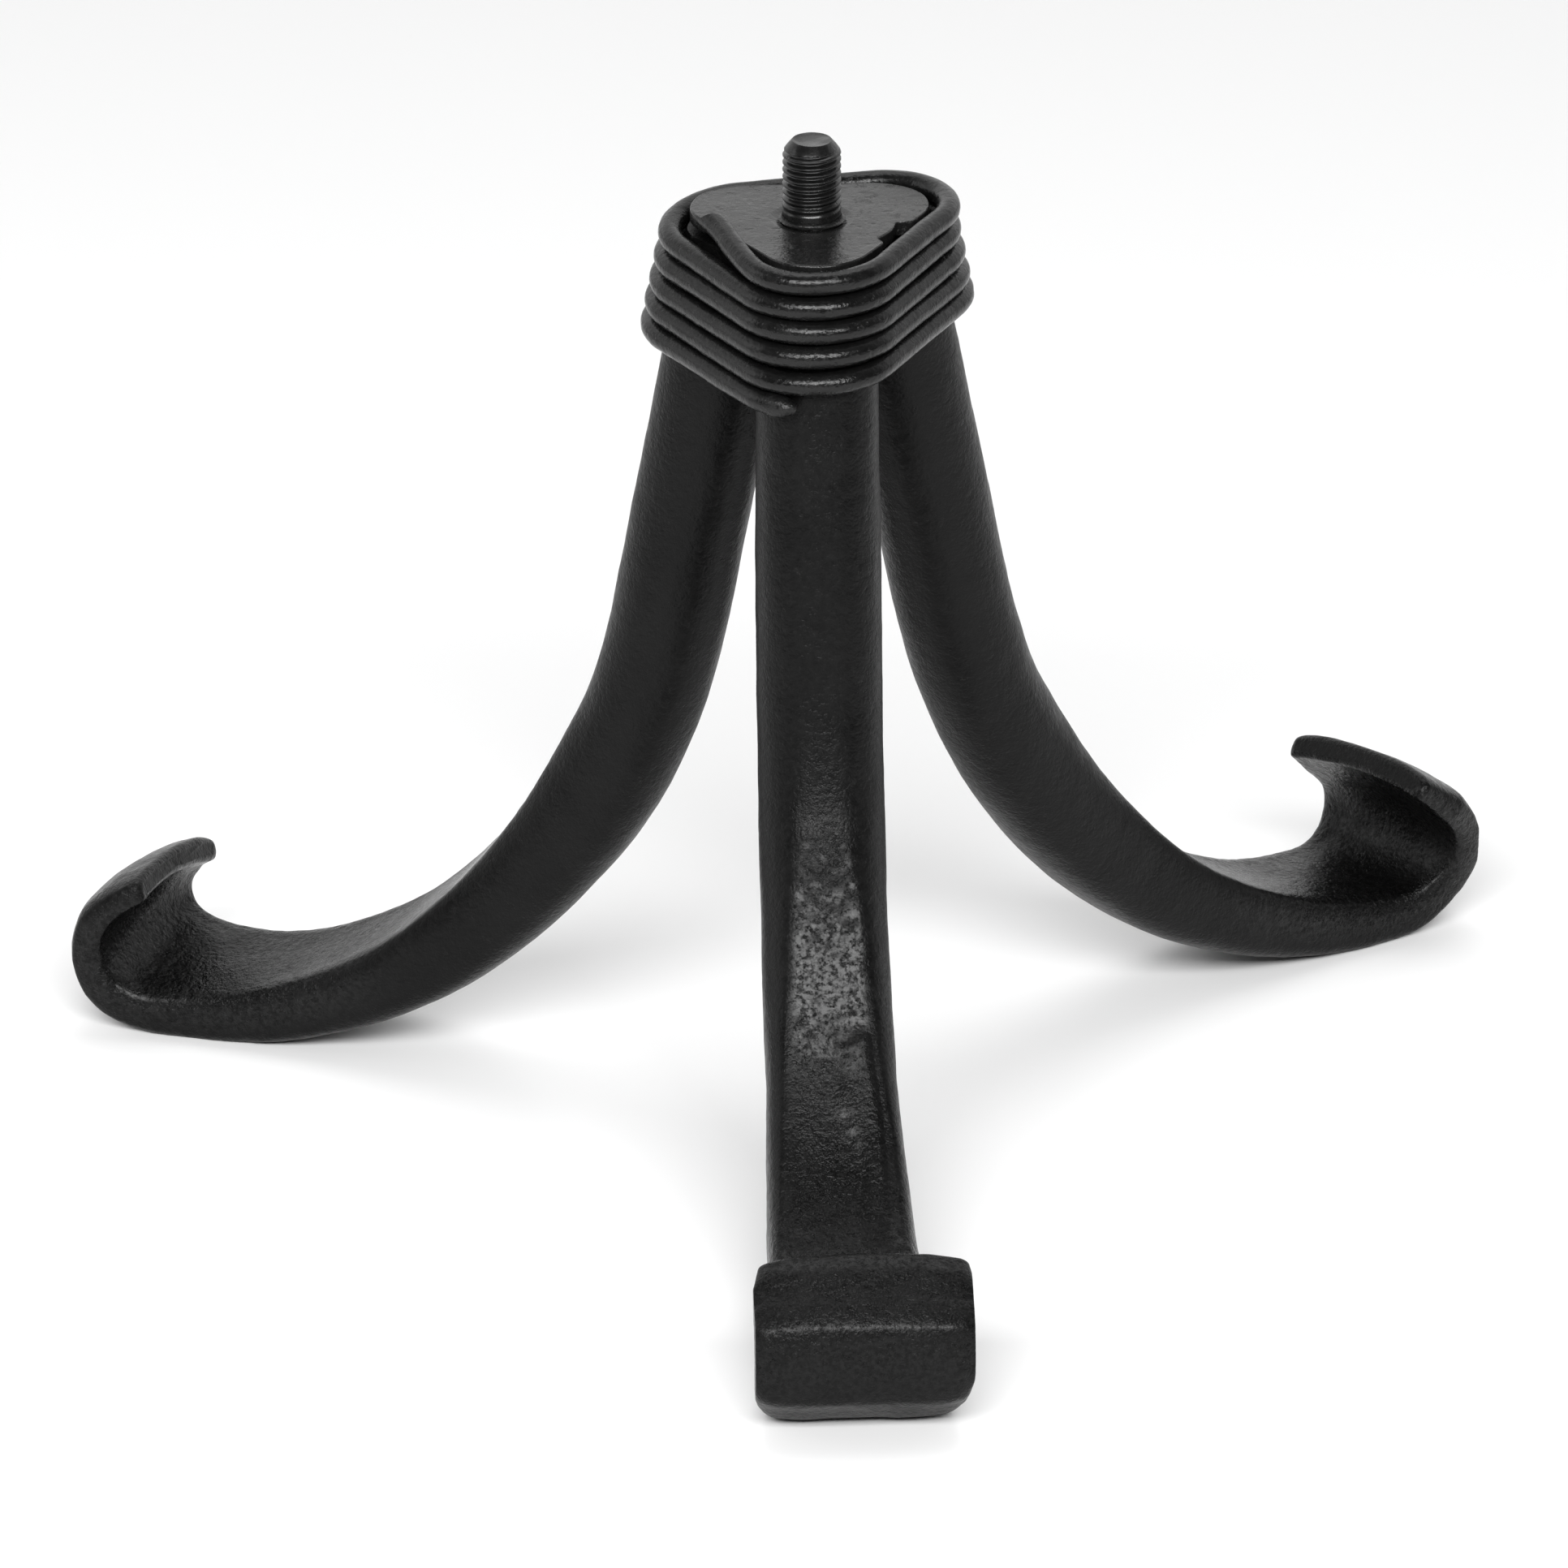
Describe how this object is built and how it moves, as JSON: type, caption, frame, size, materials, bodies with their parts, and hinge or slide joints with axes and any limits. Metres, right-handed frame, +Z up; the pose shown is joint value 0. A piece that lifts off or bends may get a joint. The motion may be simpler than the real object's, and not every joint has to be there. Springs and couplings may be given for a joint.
{
  "type": "trumpet stand base",
  "caption": "Black forged tripod base of a trumpet stand: scrolled legs bound with wire under a plate with a threaded stud for the peg.",
  "frame": {"origin": "middle of the object's box, on the floor that the feet stand on", "axes": "+Z up along the stud, the front leg runs towards -Y, +X to the right seen from the front"},
  "size_m": [0.2468, 0.2178, 0.1767],
  "materials": {
    "forged_paint": "semi-gloss black paint over a hammered, pitted forging",
    "plate_paint": "glossy black paint with grit and scratches",
    "stud_paint": "glossy black paint filling the thread's roots",
    "wire_paint": "glossy black paint on drawn wire",
    "weld_paint": "semi-gloss black paint on weld metal"
  },
  "bodies": {
    "root": {"front_leg": "forged_paint", "right_leg": "forged_paint", "left_leg": "forged_paint", "top_plate": "plate_paint", "threaded_stud": "stud_paint", "binding_wire": "wire_paint", "stud_weld": "weld_paint", "wire_tack_weld": "weld_paint", "core_weld": "weld_paint", "front_plate_weld": "weld_paint", "right_plate_weld": "weld_paint", "left_plate_weld": "weld_paint"}
  },
  "joints": []
}
